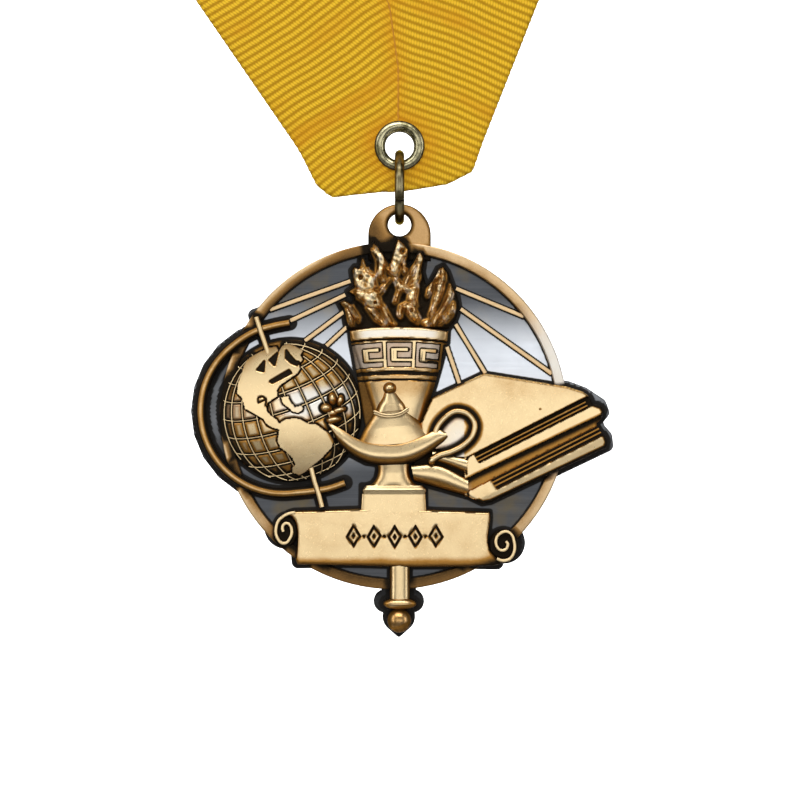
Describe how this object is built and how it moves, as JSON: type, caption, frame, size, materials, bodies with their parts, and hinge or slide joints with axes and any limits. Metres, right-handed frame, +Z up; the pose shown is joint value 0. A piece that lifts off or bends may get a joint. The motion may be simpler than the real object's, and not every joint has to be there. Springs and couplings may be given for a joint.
{
  "type": "academic medallion on a neck ribbon",
  "caption": "Round cast bronze medal with globe, torch, lamp, books and scroll in relief, hung by a jump ring from an eyelet in a grosgrain neck ribbon.",
  "frame": {"origin": "inner face of the ribbon at the nape of the neck, halfway across its width", "axes": "+Z up along the hang, -Y out of the medal's face, +X to the right as the face is seen"},
  "size_m": [0.1806, 0.1164, 0.3991],
  "materials": {
    "ribbon": "golden yellow grosgrain ribbon with cross ribs",
    "eyelet_brass": "plain pale brass, rolled and slightly tarnished",
    "ring_brass": "brass wire, dark with tarnish at its joint",
    "antique_bronze": "die-cast zinc with antique bronze plating, dark patina in the recesses"
  },
  "bodies": {
    "ribbon": {"neck_ribbon": "ribbon", "eyelet": "eyelet_brass"},
    "ring": {"jump_ring": "ring_brass"},
    "medal": {"medallion": "antique_bronze"}
  },
  "joints": [
    {"name": "ring_swing", "type": "hinge", "parent": "ribbon", "child": "ring", "pos_m": [0, -0.108, -0.3173], "axis": [1, 0, 0], "range_deg": [-35, 35]},
    {"name": "medal_swing", "type": "hinge", "parent": "ring", "child": "medal", "pos_m": [0, -0.108, -0.3255], "axis": [0, 1, 0], "range_deg": [-35, 35]}
  ]
}
